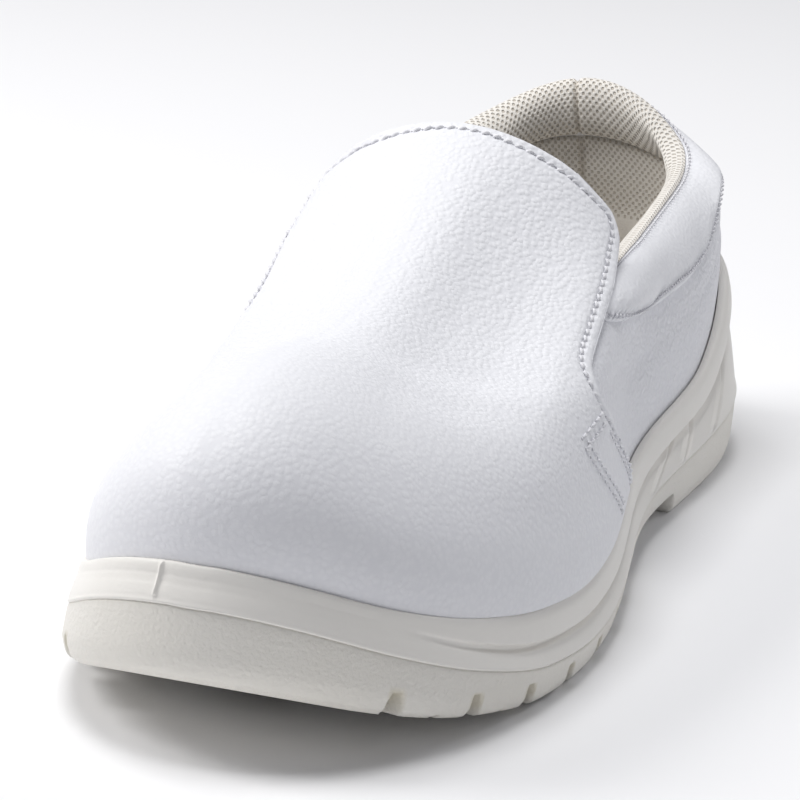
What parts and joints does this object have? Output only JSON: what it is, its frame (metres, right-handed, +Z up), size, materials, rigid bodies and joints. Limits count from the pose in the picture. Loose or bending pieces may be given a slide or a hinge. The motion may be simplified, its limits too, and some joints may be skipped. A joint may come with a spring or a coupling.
{
  "type": "steel-toe safety shoe",
  "caption": "Low white slip-on safety shoe for a left foot: grained vamp with a tongue flap, padded collar, cupped pale sole with a lugged tread and a raised waist.",
  "frame": {"origin": "on the floor, under the middle of the shoe's bounding box", "axes": "+Z up, +Y from toe to heel, +X to the wearer's left, which is the outer side of this shoe"},
  "size_m": [0.1025, 0.2861, 0.0939],
  "materials": {
    "outsole": "matte moulded polyurethane, warm off-white",
    "badge": "smooth blue",
    "midsole": "smooth moulded polyurethane, warm off-white",
    "upper": "white microfibre, fine grain",
    "vamp": "white microfibre, pebbled grain",
    "collar": "white microfibre over foam, smooth",
    "insole": "beige textile"
  },
  "bodies": {
    "root": {"outsole": "outsole", "badge": "badge", "midsole": "midsole", "upper": "upper", "vamp": "vamp", "collar": "collar", "insole": "insole"}
  },
  "joints": []
}
